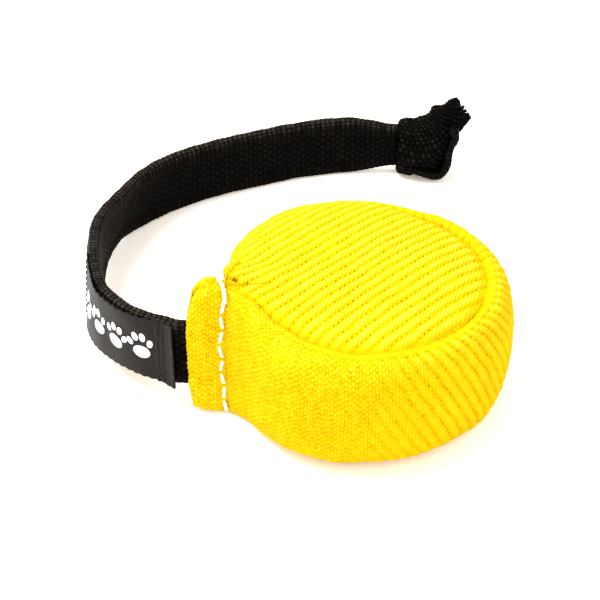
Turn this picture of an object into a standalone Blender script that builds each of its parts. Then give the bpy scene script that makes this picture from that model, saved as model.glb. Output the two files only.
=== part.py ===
"""Soft training bumper: a stuffed fabric puck whose band ends in a tab, on a knotted webbing strap.

Metres, +Z up. The origin is the centre of the puck's flat underside, and the tab points along -X.
"""

import math

import bmesh
import bpy
from mathutils import Vector

# Puck: outer radius at mid height, levels of its two seams, and how far the band rolls in over them
PUCK_RADIUS = 0.050
SEAM_RADIUS = 0.041
SEAM_LOW = 0.0025
SEAM_HIGH = 0.0430
CROWN = 0.0030
ROLL_POWER = 2.9
FABRIC = 0.0012
SEAM_GAP = 0.0018
TOUCH_GAP = 0.0004
BASE_FLAT = 0.7
CORE_CLEAR = 0.0012
CORE_PINCH = 0.0020
SEAM_THREAD = 0.0007

# The pinch at the tab draws both outlines in, and draws the panels out into a point
PINCH = 0.0085
PINCH_FRONT = math.radians(54)
PINCH_BACK = math.radians(94)
SEAM_PINCH = 0.0065
SEAM_PINCH_SPREAD = math.radians(90)
POINT = 0.0055
POINT_SPREAD = math.radians(26)
TAB_SEAT = math.radians(4)

# Tab: the band's two ends, face to face on the webbing, turned a little towards the back
TAB_ROOT = Vector((-0.0446, -0.0031))
TAB_TURN = math.radians(14)
TAB_LENGTH = 0.0120
TAB_LOW = 0.0006
TAB_HIGH = 0.0475
TAB_TAPER = 0.0020
LEAVES_PART = 0.0018
ANCHOR_THICKNESS = 0.0020
ANCHOR_INSIDE = 0.0015
ANCHOR_OUTSIDE = 0.0010
HEM = 0.0008
HEM_GAP = 0.0003
HEM_INSET = 0.0030
STITCH_THREAD = 0.0012
STITCH_STEP = 0.0056

# Webbing strap: flat tubular webbing standing on its edge
STRAP_WIDTH = 0.0232
STRAP_THICKNESS = 0.0036
STRAP_FLOOR = 0.0006
STRAP_EXIT_LOW = 0.0098
HINGE_OUTSIDE = 0.0032
STRAP_SETTLE = 0.62
KNOT_WIDTH = 0.0185

# The strap's centreline from its flex line to the knot, seen from above
STRAP_ROUTE = [
    (-0.0625, 0.0030),
    (-0.0664, 0.0060),
    (-0.0703, 0.0096),
    (-0.0738, 0.0140),
    (-0.0768, 0.0194),
    (-0.0795, 0.0252),
    (-0.0811, 0.0322),
    (-0.0813, 0.0402),
    (-0.0804, 0.0498),
    (-0.0789, 0.0607),
    (-0.0766, 0.0722),
    (-0.0727, 0.0843),
    (-0.0667, 0.0957),
    (-0.0594, 0.1055),
    (-0.0508, 0.1133),
    (-0.0408, 0.1192),
    (-0.0290, 0.1238),
    (-0.0160, 0.1272),
    (-0.0020, 0.1300),
    (0.0120, 0.1318),
    (0.0250, 0.1318),
    (0.0370, 0.1300),
    (0.0470, 0.1275),
]

# Label: a woven strip along the strap's outer face, sewn down at both ends
LABEL_WIDTH = 0.0226
LABEL_THICKNESS = 0.0009
LABEL_START = 0.0015
LABEL_LENGTH = 0.0540
LABEL_SEW = 0.0035
LABEL_THREAD = 0.0006

# Knot and tail: the knot's outline seen square on, along the strap and up, and its depth across
KNOT_OUTLINE = [
    (0.0005, 0.0010),
    (0.0175, 0.0),
    (0.0200, 0.0040),
    (0.0200, 0.0140),
    (0.0125, 0.0245),
    (0.0005, 0.0240),
]
KNOT_DEPTH = 0.0150
KNOT_ROUND = 0.0030
TAIL_LENGTH = 0.0105
TAIL_WIDTH = 0.0150
TAIL_THICKNESS = 0.0042
TAIL_CLEAR = 0.0004

YELLOW = (0.85, 0.62, 0.02, 1)
BLACK = (0.012, 0.011, 0.010, 1)
SATIN_BLACK = (0.020, 0.019, 0.022, 1)
WHITE = (0.85, 0.84, 0.80, 1)
STUFFING = (0.72, 0.70, 0.64, 1)


def clear_scene():
    for obj in list(bpy.data.objects):
        bpy.data.objects.remove(obj)


def make_material(name, colour, roughness):
    material = bpy.data.materials.new(name)
    material.use_nodes = True
    shader = material.node_tree.nodes["Principled BSDF"]
    shader.inputs["Base Color"].default_value = colour
    shader.inputs["Roughness"].default_value = roughness
    shader.inputs["Metallic"].default_value = 0.0
    return material


def add_piece(name, data, material, collection):
    obj = bpy.data.objects.new(name, data)
    collection.objects.link(obj)
    data.materials.append(material)
    return obj


def thicken(obj, thickness):
    """Gives an open sheet its thickness, on the side away from its normals."""
    solidify = obj.modifiers.new("thickness", "SOLIDIFY")
    solidify.thickness = thickness
    solidify.offset = -1.0
    solidify.use_even_offset = True


def loft(name, rows, closed_ring=False, caps=False, smooth=True):
    """A mesh of quads between rows of points, each row closed on itself if asked."""
    bm = bmesh.new()
    grid = [[bm.verts.new(point) for point in row] for row in rows]
    width = len(rows[0])
    columns = [(j, j + 1) for j in range(width - 1)]
    if closed_ring:
        columns.append((width - 1, 0))
    for row, next_row in zip(grid, grid[1:]):
        for j, j2 in columns:
            bm.faces.new((row[j], row[j2], next_row[j2], next_row[j]))
    if caps:
        bm.faces.new(list(reversed(grid[0])))
        bm.faces.new(grid[-1])
    bmesh.ops.recalc_face_normals(bm, faces=bm.faces)
    mesh = bpy.data.meshes.new(name)
    bm.to_mesh(mesh)
    bm.free()
    if smooth:
        mesh.shade_smooth()
    return mesh


def smooth_route(points, pieces):
    """Points on a Catmull-Rom curve through the given points, with that many steps between neighbours."""
    ends = [points[0] * 2 - points[1], *points, points[-1] * 2 - points[-2]]
    route = []
    for a, b, c, d in zip(ends, ends[1:], ends[2:], ends[3:]):
        for k in range(pieces):
            t = k / pieces
            route.append(
                (b * 2 + (c - a) * t + (a * 2 - b * 5 + c * 4 - d) * t**2 + (b * 3 - a - c * 3 + d) * t**3) / 2
            )
    return [*route, points[-1]]


def running_lengths(points):
    lengths = [0.0]
    for a, b in zip(points, points[1:]):
        lengths.append(lengths[-1] + (b - a).length)
    return lengths


def ease(t):
    t = min(max(t, 0.0), 1.0)
    return t * t * (3 - 2 * t)


def near_tab(turn, spread):
    """1 at the tab, falling smoothly to 0 at the spread on each side of it."""
    off = math.remainder(turn - TAB_SEAT, math.tau)
    return 0.0 if abs(off) >= spread else (1 + math.cos(math.pi * off / spread)) / 2


def around(turn, radius):
    """The point at that turn from the tab's side, positive towards the front."""
    return Vector((-radius * math.cos(turn), -radius * math.sin(turn)))


def side_pinch(turn):
    """1 at the tab; the back of the band is drawn in over a wider stretch than the front."""
    front = math.sin(turn - TAB_SEAT) > 0
    return near_tab(turn, PINCH_FRONT if front else PINCH_BACK)


def side_point(turn):
    return around(turn, PUCK_RADIUS - PINCH * side_pinch(turn))


def seam_point(turn, outside):
    radius = SEAM_RADIUS - SEAM_PINCH * near_tab(turn, SEAM_PINCH_SPREAD) + POINT * near_tab(turn, POINT_SPREAD)
    return around(turn, radius + outside)


def seam_level(turn, low):
    """The seam's height; near the tab, it spreads to the tab's full height."""
    spread = near_tab(turn, SEAM_PINCH_SPREAD / 2)
    level, end = (SEAM_LOW, TAB_LOW + FABRIC / 3) if low else (SEAM_HIGH, TAB_HIGH - FABRIC / 3)
    return level + (end - level) * spread


def tab_point(along, across):
    """A point along the tab from its stitch line, and across it, positive towards the front."""
    forward = Vector((-math.cos(TAB_TURN), math.sin(TAB_TURN)))
    side = Vector((-math.sin(TAB_TURN), -math.cos(TAB_TURN)))
    return TAB_ROOT + forward * along + side * across


def half_tab():
    return ANCHOR_THICKNESS / 2 + HEM_GAP + HEM + HEM_GAP + FABRIC


def band_lines(side):
    """Half the strip, from the tab's outer end to the far side: (outline point, seam point, low, high)."""
    lines = []
    for share in (1.0, 0.85, 0.65, 0.35, 0.0):
        point = tab_point(TAB_LENGTH * share, side * half_tab())
        taper = TAB_TAPER * share**3
        lines.append((point, point, TAB_LOW + taper, TAB_HIGH - taper))
    root = tab_point(-LEAVES_PART, side * half_tab())
    lines.append((root, root, TAB_LOW, TAB_HIGH))
    degrees = (16, 22, 29, 37, 46, 56, 67, 79, 92, 106, 121, 136, 151, 166, 180)
    turns = [TAB_SEAT + side * math.radians(a) for a in degrees]
    outline = [root, *[side_point(t) for t in turns]]
    edge = [root, *[seam_point(t, SEAM_GAP / 2) for t in turns]]
    edge[1] = edge[0].lerp(seam_point(turns[1], SEAM_GAP / 2), 0.62) + around(turns[1], 0.0012)
    outline = smooth_route(outline, 2)
    edge = smooth_route(edge, 2)
    for k in range(1, len(outline)):
        turn = math.atan2(-edge[k].y, -edge[k].x)
        opening = ease((k - 0.5) / 7)
        low = TAB_LOW + (seam_level(turn, True) - TAB_LOW) * opening
        high = TAB_HIGH + (seam_level(turn, False) - TAB_HIGH) * opening
        lines.append((outline[k], edge[k], low, high))
    return lines


def band_profile(steps):
    """(share of the way in to the seam, height from -1 to 1) from the lower seam to the upper one."""
    profile = []
    for k in range(steps + 1):
        angle = math.pi * (k / steps - 0.5)
        share = 1 - max(math.cos(angle), 0.0) ** (2 / ROLL_POWER)
        height = math.copysign(abs(math.sin(angle)) ** (2 / ROLL_POWER), angle)
        profile.append((share, height))
    return profile


def make_side_band(material, collection):
    rows = []
    profile = band_profile(10)
    for outline, edge, low, high in [*band_lines(1), *reversed(band_lines(-1)[:-1])]:
        middle, half = (low + high) / 2, (high - low) / 2
        rows.append([(*outline.lerp(edge, share), middle + half * height) for share, height in profile])
    band = add_piece("side_band", loft("side_band", rows), material, collection)
    face_outwards(band.data, Vector((0, 0, (SEAM_LOW + SEAM_HIGH) / 2)))
    thicken(band, FABRIC)
    return band


def face_outwards(mesh, centre):
    """Turns an open sheet's faces away from the centre."""
    outward = sum((f.center - centre).dot(f.normal) * f.area for f in mesh.polygons)
    if outward < 0:
        mesh.flip_normals()


def make_panel(name, low, material, collection):
    """A round panel with its point at the tab: domed on top, and flat underneath where the puck stands."""
    spokes, rings = 60, 7
    rows = []
    for ring in range(1, rings + 1):
        share = ring / rings
        row = []
        for spoke in range(spokes):
            turn = TAB_SEAT + math.tau * spoke / spokes
            edge = seam_point(turn, -SEAM_GAP / 2)
            rim = seam_level(turn, low)
            if low:
                level = rim * ease((share - BASE_FLAT) / (1 - BASE_FLAT))
            else:
                level = SEAM_HIGH + (rim - SEAM_HIGH) * share**4 + CROWN * (1 - share**2)
            row.append((*(edge * share), level))
        rows.append(row)
    mesh = loft(name, rows, closed_ring=True)
    bm = bmesh.new()
    bm.from_mesh(mesh)
    bm.verts.ensure_lookup_table()
    bm.faces.new([bm.verts[k] for k in range(spokes)])
    bmesh.ops.recalc_face_normals(bm, faces=bm.faces)
    bm.to_mesh(mesh)
    bm.free()
    panel = add_piece(name, mesh, material, collection)
    face_outwards(mesh, Vector((0, 0, (SEAM_LOW + SEAM_HIGH) / 2)))
    thicken(panel, FABRIC)
    return panel


def make_core(material, collection):
    """The stuffing: the puck's inside, clear of the fabric all round."""
    spokes = 48
    clear = FABRIC + CORE_CLEAR
    low, high = SEAM_LOW + clear, SEAM_HIGH - clear
    middle, half = (low + high) / 2, (high - low) / 2
    rows = []
    for share, height in band_profile(8):
        row = []
        for spoke in range(spokes):
            turn = TAB_SEAT + math.tau * spoke / spokes
            pinch = CORE_PINCH * side_pinch(turn)
            outline = side_point(turn) * (1 - (clear + pinch) / PUCK_RADIUS)
            edge = seam_point(turn, -clear - pinch - POINT * near_tab(turn, POINT_SPREAD))
            row.append((*outline.lerp(edge, share), middle + half * height))
        rows.append(row)
    return add_piece("core", loft("core", rows, closed_ring=True, caps=True), material, collection)


def make_thread(name, points, diameter, material, collection, cyclic=False, sides=1):
    curve = bpy.data.curves.new(name, "CURVE")
    curve.dimensions = "3D"
    curve.bevel_depth = diameter / 2
    curve.bevel_resolution = sides
    curve.use_fill_caps = not cyclic
    spline = curve.splines.new("POLY")
    spline.points.add(len(points) - 1)
    for target, point in zip(spline.points, points):
        target.co = (*point, 1)
    spline.use_cyclic_u = cyclic
    return add_piece(name, curve, material, collection)


def make_seam_thread(name, low, material, collection):
    """The closing seam's thread, lying in the gap between the panel and the band."""
    points = []
    for step in range(72):
        turn = TAB_SEAT + math.tau * step / 72
        level = seam_level(turn, low) + (FABRIC / 2 if low else -FABRIC / 2)
        points.append((*seam_point(turn, 0), level))
    return make_thread(name, points, SEAM_THREAD, material, collection, cyclic=True)


def make_tab_stitch(material, collection):
    """The heavy white thread: running stitches up the front, over the top and down the back of the tab."""
    face = half_tab() + STITCH_THREAD / 2 + TOUCH_GAP
    low = TAB_LOW + STITCH_THREAD
    top = TAB_HIGH - STITCH_THREAD
    rise = STITCH_THREAD * 1.5 + TOUCH_GAP
    count = round((TAB_HIGH - low) / STITCH_STEP)
    heights = [low + (top - low) * k / (4 * count) for k in range(4 * count + 1)]
    bulge = [0.0, 0.0003, 0.0004, 0.0003]
    front = [(*tab_point(0, face + bulge[k % 4]), z) for k, z in enumerate(heights)]
    over = []
    for k in range(1, 8):
        angle = math.pi * k / 8
        over.append((*tab_point(0, face * math.cos(angle)), top + rise * math.sin(angle) ** 0.4))
    back = [(*tab_point(0, -face - bulge[k % 4]), z) for k, z in reversed(list(enumerate(heights)))]
    return make_thread("tab_stitch_thread", [*front, *over, *back], STITCH_THREAD, material, collection)


def rounded_section(width, thickness):
    """The webbing's section, with rounded edges: (across, up) pairs about its middle."""
    flat = width / 2 - thickness / 2
    section = []
    for k in range(5):
        angle = math.pi * k / 4
        section.append((thickness / 2 * math.cos(angle), flat + thickness / 2 * math.sin(angle)))
    return section + [(-x, -z) for x, z in section]


def upright_ribbon(name, stations):
    """A strip standing on its edge. Each station is (middle, direction, width, thickness)."""
    rows = []
    for middle, direction, width, thickness in stations:
        across = Vector((direction.y, -direction.x, 0)).normalized()
        rows.append([middle + across * x + Vector((0, 0, z)) for x, z in rounded_section(width, thickness)])
    return loft(name, rows, closed_ring=True, caps=True)


def strap_centreline():
    """The free strap's centreline in space, from its flex line to the knot."""
    flex = tab_point(TAB_LENGTH + HINGE_OUTSIDE, 0)
    plan = smooth_route([flex, *[Vector(p) for p in STRAP_ROUTE]], 3)
    lengths = running_lengths(plan)
    settle = STRAP_SETTLE * lengths[-1]
    gather = lengths[-1] - 0.020
    route = []
    for point, length in zip(plan, lengths):
        low = STRAP_FLOOR + (STRAP_EXIT_LOW - STRAP_FLOOR) * (1 - ease(length / settle))
        width = STRAP_WIDTH - (STRAP_WIDTH - KNOT_WIDTH) * ease((length - gather) / 0.020)
        route.append((Vector((*point, low + STRAP_WIDTH / 2)), width))
    return route


def directions(points):
    spans = [b - a for a, b in zip(points, points[1:])]
    return [spans[0], *[(a.normalized() + b.normalized()) for a, b in zip(spans, spans[1:])], spans[-1]]


def make_strap(material, collection):
    route = strap_centreline()
    points = [p for p, _ in route]
    stations = []
    heading = (points[1] - points[0]).normalized()
    for k in range(1, 4):
        back = math.cos(math.radians(90 - 22.5 * (4 - k))) * STRAP_THICKNESS / 2
        thickness = math.sqrt(STRAP_THICKNESS**2 - 4 * back**2)
        stations.append((points[0] - heading * back, heading, STRAP_WIDTH, thickness))
    for (point, width), direction in zip(route, directions(points)):
        stations.append((point, direction, width, STRAP_THICKNESS))
    return add_piece("strap", upright_ribbon("strap", stations), material, collection)


def make_hem(name, side, material, collection):
    """One turned-in end of the band, lying between its outer face and the webbing."""
    across = side * (ANCHOR_THICKNESS / 2 + HEM_GAP + HEM / 2)
    low, high = TAB_LOW + HEM_INSET, TAB_HIGH - HEM_INSET
    rows = []
    for along in (-ANCHOR_INSIDE, TAB_LENGTH):
        inner, outer = tab_point(along, across - HEM / 2), tab_point(along, across + HEM / 2)
        rows.append([(*inner, low), (*outer, low), (*outer, high), (*inner, high)])
    return add_piece(name, loft(name, rows, closed_ring=True, caps=True, smooth=False), material, collection)


def make_strap_anchor(material, collection):
    middle = STRAP_EXIT_LOW + STRAP_WIDTH / 2
    ends = [-ANCHOR_INSIDE, TAB_LENGTH + ANCHOR_OUTSIDE]
    heading = tab_point(1, 0) - tab_point(0, 0)
    stations = [(Vector((*tab_point(end, 0), middle)), heading, STRAP_WIDTH, ANCHOR_THICKNESS) for end in ends]
    return add_piece("strap_anchor", upright_ribbon("strap_anchor", stations), material, collection)


def beside_strap(start, length, offset, steps):
    """Points at even steps along the strap from start, beside its outer face: (point, direction)."""
    points = [p for p, _ in strap_centreline()]
    lengths = running_lengths(points)
    found = []
    for step in range(steps + 1):
        wanted = start + length * step / steps
        k = next(i for i, done in enumerate(lengths) if done > wanted) - 1
        heading = points[k + 1] - points[k]
        point = points[k] + heading * ((wanted - lengths[k]) / (lengths[k + 1] - lengths[k]))
        before, after = points[max(k - 1, 0)], points[k + 2]
        direction = (after - before).normalized()
        found.append((point - Vector((direction.y, -direction.x, 0)).normalized() * offset, direction))
    return found


def make_label(material, collection):
    offset = STRAP_THICKNESS / 2 + TOUCH_GAP + LABEL_THICKNESS / 2
    stations = [
        (point, direction, LABEL_WIDTH, LABEL_THICKNESS)
        for point, direction in beside_strap(LABEL_START, LABEL_LENGTH, offset, 18)
    ]
    return add_piece("label", upright_ribbon("label", stations), material, collection)


def make_label_stitch(name, along, material, collection):
    offset = STRAP_THICKNESS / 2 + 2 * TOUCH_GAP + LABEL_THICKNESS + LABEL_THREAD / 2
    point, _ = beside_strap(along, 0.001, offset, 1)[0]
    reach = Vector((0, 0, LABEL_WIDTH / 2 - 0.001))
    return make_thread(name, [point - reach, point, point + reach], LABEL_THREAD, material, collection)


def knot_frame():
    """(where the strap ends, the way it points, the way across) at the knot."""
    points = [p for p, _ in strap_centreline()]
    along = (points[-1] - points[-4]).normalized()
    return points[-1], along, Vector((along.y, -along.x, 0))


def make_knot(material, collection):
    """The knot's outer shape, sloped at its upper far corner where the tail comes out."""
    end, along, across = knot_frame()
    rows = []
    for side in (1, -1):
        middle = end + across * side * KNOT_DEPTH / 2
        rows.append([(*(middle + along * out).xy, STRAP_FLOOR + up) for out, up in KNOT_OUTLINE])
    mesh = loft("strap_knot", rows, closed_ring=True, caps=True)
    knot = add_piece("strap_knot", mesh, material, collection)
    bevel = knot.modifiers.new("round edges", "BEVEL")
    bevel.width = KNOT_ROUND
    bevel.segments = 3
    bevel.limit_method = "ANGLE"
    bevel.angle_limit = math.radians(30)
    return knot


def make_tail(material, collection):
    """The cut end of the webbing, square to the knot's slope."""
    end, along, across = knot_frame()
    low, high = [along * out + Vector((0, 0, up)) for out, up in KNOT_OUTLINE[3:5]]
    slope = (high - low).normalized()
    rise = along * slope.z - Vector((0, 0, slope.dot(along)))
    start = Vector((end.x, end.y, STRAP_FLOOR)) + (low + high) / 2
    rows = []
    for reach, width in ((0, 0.7), (0.4, 0.96), (1, 1)):
        section = rounded_section(TAIL_WIDTH * width, TAIL_THICKNESS)
        middle = start + rise * (TAIL_CLEAR + TAIL_LENGTH * reach)
        rows.append([middle + across * x + slope * z for x, z in section])
    return add_piece("strap_tail", loft("strap_tail", rows, closed_ring=True, caps=True), material, collection)


def main():
    clear_scene()
    bumper = bpy.data.collections.new("training_bumper")
    bpy.context.scene.collection.children.link(bumper)

    fabric = make_material("bite_fabric", YELLOW, 0.9)
    make_panel("top_panel", False, fabric, bumper)
    make_panel("bottom_panel", True, fabric, bumper)
    make_side_band(fabric, bumper)
    make_hem("hem_front", 1, fabric, bumper)
    make_hem("hem_back", -1, fabric, bumper)
    make_core(make_material("stuffing", STUFFING, 0.95), bumper)

    thread = make_material("white_thread", WHITE, 0.6)
    make_seam_thread("top_seam_thread", False, thread, bumper)
    make_seam_thread("bottom_seam_thread", True, thread, bumper)
    make_tab_stitch(thread, bumper)

    webbing = make_material("webbing", BLACK, 0.75)
    make_strap_anchor(webbing, bumper)
    make_strap(webbing, bumper)
    make_knot(webbing, bumper)
    make_tail(webbing, bumper)

    satin = make_material("label_satin", SATIN_BLACK, 0.5)
    black_thread = make_material("black_thread", BLACK, 0.6)
    make_label(satin, bumper)
    make_label_stitch("label_stitch_near", LABEL_START + LABEL_SEW, black_thread, bumper)
    make_label_stitch("label_stitch_far", LABEL_START + LABEL_LENGTH - LABEL_SEW, black_thread, bumper)


main()
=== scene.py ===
import math

import bmesh
import bpy
import numpy as np
from mathutils import Matrix, Vector


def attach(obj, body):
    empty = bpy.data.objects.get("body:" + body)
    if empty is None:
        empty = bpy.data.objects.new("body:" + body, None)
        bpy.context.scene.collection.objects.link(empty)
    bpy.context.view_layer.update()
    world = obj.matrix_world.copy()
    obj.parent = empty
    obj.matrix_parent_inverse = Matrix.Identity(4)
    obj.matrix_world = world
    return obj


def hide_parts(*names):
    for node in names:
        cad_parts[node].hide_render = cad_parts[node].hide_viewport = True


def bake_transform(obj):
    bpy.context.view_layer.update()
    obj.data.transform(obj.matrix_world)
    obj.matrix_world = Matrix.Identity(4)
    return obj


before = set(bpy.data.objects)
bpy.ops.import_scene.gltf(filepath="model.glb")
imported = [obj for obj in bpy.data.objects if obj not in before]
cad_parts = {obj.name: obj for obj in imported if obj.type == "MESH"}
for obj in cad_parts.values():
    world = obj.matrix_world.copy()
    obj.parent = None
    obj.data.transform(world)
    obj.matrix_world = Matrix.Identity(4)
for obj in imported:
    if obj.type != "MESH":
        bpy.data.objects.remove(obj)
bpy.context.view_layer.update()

# ---------------------------------------------------------------- sizes in metres, as in the CAD or close to it
PUCK_RADIUS = 0.050
SEAM_RADIUS = 0.041
SEAM_LOW = 0.0025
SEAM_HIGH = 0.0430
CROWN = 0.0032
PINCH = 0.0085
PINCH_FRONT = math.radians(54)
PINCH_BACK = math.radians(94)
SEAM_PINCH = 0.0065
SEAM_PINCH_SPREAD = math.radians(90)
POINT = 0.0055
POINT_SPREAD = math.radians(26)
TAB_SEAT = math.radians(4)
TAB_ROOT = np.array([-0.0446, -0.0031])
TAB_TURN = math.radians(14)
TAB_LENGTH = 0.0116
TAB_LOW = 0.0004
TAB_HIGH = 0.0475
STRAP_WIDTH = 0.0232
STRAP_FLOOR = 0.0006
STRAP_EXIT_LOW = 0.0098
STRAP_SETTLE = 0.62
FLEX = 0.0152

# Drawn closer to the photo here than in the CAD
BACK_LEFT = math.radians(-68)
BACK_SPREAD = math.radians(65)
BACK_OUT = 0.0058
BACK_DOWN = 0.0017
LEAN = math.radians(11)
KNOT_WIDTH = 0.0168
KNOT_GATHER = 0.020

# The point that outward is measured from
PUCK_MIDDLE = np.array([0, 0, 0.0225])

# Bite fabric: a three-and-one twill of thick yarn, closer set one way than the other
YARN = 0.00106
WEFT = 0.00180
RIB_SLOPE = math.atan2(WEFT, YARN)
TOP_RIBS = math.radians(34)

STRAP_ROUTE = [
    (-0.0625, 0.0030),
    (-0.0664, 0.0060),
    (-0.0703, 0.0096),
    (-0.0738, 0.0140),
    (-0.0768, 0.0194),
    (-0.0795, 0.0252),
    (-0.0811, 0.0322),
    (-0.0813, 0.0402),
    (-0.0804, 0.0498),
    (-0.0789, 0.0607),
    (-0.0766, 0.0722),
    (-0.0727, 0.0843),
    (-0.0667, 0.0957),
    (-0.0594, 0.1055),
    (-0.0508, 0.1133),
    (-0.0408, 0.1192),
    (-0.0290, 0.1238),
    (-0.0160, 0.1272),
    (-0.0020, 0.1300),
    (0.0120, 0.1318),
    (0.0250, 0.1318),
    (0.0370, 0.1300),
    (0.0470, 0.1275),
]


# ---------------------------------------------------------------- camera
def make_camera():
    data = bpy.data.cameras.new("camera")
    data.lens = 108
    data.sensor_width = 36
    data.clip_start = 0.02
    data.clip_end = 20
    camera = bpy.data.objects.new("camera", data)
    bpy.context.scene.collection.objects.link(camera)
    forward = Vector((0.1698, 0.7974, -0.5790)).normalized()
    right = Vector((0.9781, -0.2083, 0.0)).normalized()
    up = right.cross(forward)
    turn = Matrix((right, up, -forward)).transposed().to_4x4()
    camera.matrix_world = Matrix.Translation(Vector((-0.11697, -0.45986, 0.37004))) @ turn
    bpy.context.scene.camera = camera


make_camera()


# ---------------------------------------------------------------- helpers
UP = np.array([0.0, 0.0, 1.0])


def ease(t):
    t = np.clip(t, 0.0, 1.0)
    return t * t * (3 - 2 * t)


def hill(x, width):
    return np.exp(-((x / width) ** 2))


def unit(vectors):
    return vectors / np.linalg.norm(vectors, axis=-1, keepdims=True)


def smooth_route(points, pieces):
    """Points on a Catmull-Rom curve through the given points."""
    p = np.asarray(points, float)
    ends = np.vstack([2 * p[0] - p[1], p, 2 * p[-1] - p[-2]])
    out = []
    for a, b, c, d in zip(ends, ends[1:], ends[2:], ends[3:]):
        for k in range(pieces):
            t = k / pieces
            point = b * 2 + (c - a) * t + (a * 2 - b * 5 + c * 4 - d) * t**2
            out.append((point + (b * 3 - a - c * 3 + d) * t**3) / 2)
    return np.array([*out, p[-1]])


def run_lengths(points):
    steps = np.linalg.norm(np.diff(points, axis=0), axis=1)
    return np.concatenate([[0.0], np.cumsum(steps)])


def columns_at(at, lengths, values):
    """Columns of values that are given at some lengths, read off at others."""
    return np.stack([np.interp(at, lengths, column) for column in values.T], axis=-1)


def resample(points, count=None, step=None):
    """Even steps along a polyline; returns the points and the lengths they lie at."""
    lengths = run_lengths(points[:, :3] if points.shape[1] > 3 else points)
    if count is None:
        count = max(2, round(lengths[-1] / step) + 1)
    at = np.linspace(0, lengths[-1], count)
    return columns_at(at, lengths, points), at


def wobble(x, y, seed, size=1.0):
    """A smooth repeatable irregularity between about -1 and 1."""
    rng = np.random.default_rng(seed)
    total = np.zeros(np.broadcast(x, y).shape)
    for _ in range(7):
        angle = rng.uniform(0, math.tau)
        phase = rng.uniform(0, math.tau)
        scale = rng.uniform(0.6, 1.9)
        wave = math.tau * scale / size
        total = total + np.sin((x * math.cos(angle) + y * math.sin(angle)) * wave + phase)
    return total / 3.4


def grid_normals(p, wrap_v=False):
    du = np.gradient(p, axis=0)
    dv = (np.roll(p, -1, 1) - np.roll(p, 1, 1)) if wrap_v else np.gradient(p, axis=1)
    n = np.cross(du, dv)
    return n / np.maximum(np.linalg.norm(n, axis=2, keepdims=True), 1e-12)


def normals_out(grid, centre, wrap_v=False):
    """Grid normals on the side away from the centre."""
    normals = grid_normals(grid, wrap_v=wrap_v)
    return -normals if np.sum((grid - centre) * normals) < 0 else normals


def grid_object(name, p, wrap_v=False, values=None, caps=False):
    """A mesh from a grid of points, with float attributes of the same shape."""
    nu, nv = p.shape[:2]
    iu = np.arange(nu - 1)
    iv = np.arange(nv if wrap_v else nv - 1)
    a, b = np.meshgrid(iu, iv, indexing="ij")
    a2, b2 = a + 1, (b + 1) % nv
    faces = np.stack([a * nv + b, a2 * nv + b, a2 * nv + b2, a * nv + b2], axis=-1).reshape(-1, 4)
    verts = p.reshape(-1, 3)
    polygons = faces.tolist()
    if caps:
        first, last = list(range(nv)), list(range((nu - 1) * nv, nu * nv))
        polygons.append(first[::-1])
        polygons.append(last)
    mesh = bpy.data.meshes.new(name)
    mesh.from_pydata(verts.tolist(), [], polygons)
    for key, array in (values or {}).items():
        attribute = mesh.attributes.new(key, "FLOAT", "POINT")
        attribute.data.foreach_set("value", np.ascontiguousarray(array, dtype=np.float32).ravel())
    mesh.shade_smooth()
    mesh.update()
    obj = bpy.data.objects.new(name, mesh)
    bpy.context.scene.collection.objects.link(obj)
    return obj


# ---------------------------------------------------------------- materials
def nodes_of(name):
    material = bpy.data.materials.new(name)
    material.use_nodes = True
    tree = material.node_tree
    return material, tree, tree.nodes["Principled BSDF"]


def ramp_node(tree, factor, stops):
    ramp = tree.nodes.new("ShaderNodeValToRGB")
    elements = ramp.color_ramp.elements
    while len(elements) < len(stops):
        elements.new(0.5)
    for element, (position, colour) in zip(elements, stops):
        element.position = position
        element.color = (*colour, 1)
    tree.links.new(factor, ramp.inputs["Fac"])
    return ramp.outputs["Color"]


def attribute_node(tree, name):
    node = tree.nodes.new("ShaderNodeAttribute")
    node.attribute_name = name
    return node.outputs["Fac"]


def noise_node(tree, scale, detail=3.0, roughness=0.6):
    coords = tree.nodes.new("ShaderNodeTexCoord")
    noise = tree.nodes.new("ShaderNodeTexNoise")
    noise.inputs["Scale"].default_value = scale
    noise.inputs["Detail"].default_value = detail
    noise.inputs["Roughness"].default_value = roughness
    tree.links.new(coords.outputs["Object"], noise.inputs["Vector"])
    return noise.outputs["Fac"]


def mix_node(tree, factor, a, b, mode="MIX"):
    node = tree.nodes.new("ShaderNodeMix")
    node.data_type = "RGBA"
    node.blend_type = mode
    for socket, value in ((node.inputs[0], factor), (node.inputs[6], a), (node.inputs[7], b)):
        if isinstance(value, (int, float)):
            socket.default_value = value
        elif isinstance(value, tuple):
            socket.default_value = (*value, 1)
        else:
            tree.links.new(value, socket)
    return node.outputs[2]


def add_bump(tree, shader, height, strength, distance):
    bump = tree.nodes.new("ShaderNodeBump")
    bump.inputs["Strength"].default_value = strength
    bump.inputs["Distance"].default_value = distance
    tree.links.new(height, bump.inputs["Height"])
    tree.links.new(bump.outputs["Normal"], shader.inputs["Normal"])


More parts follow.
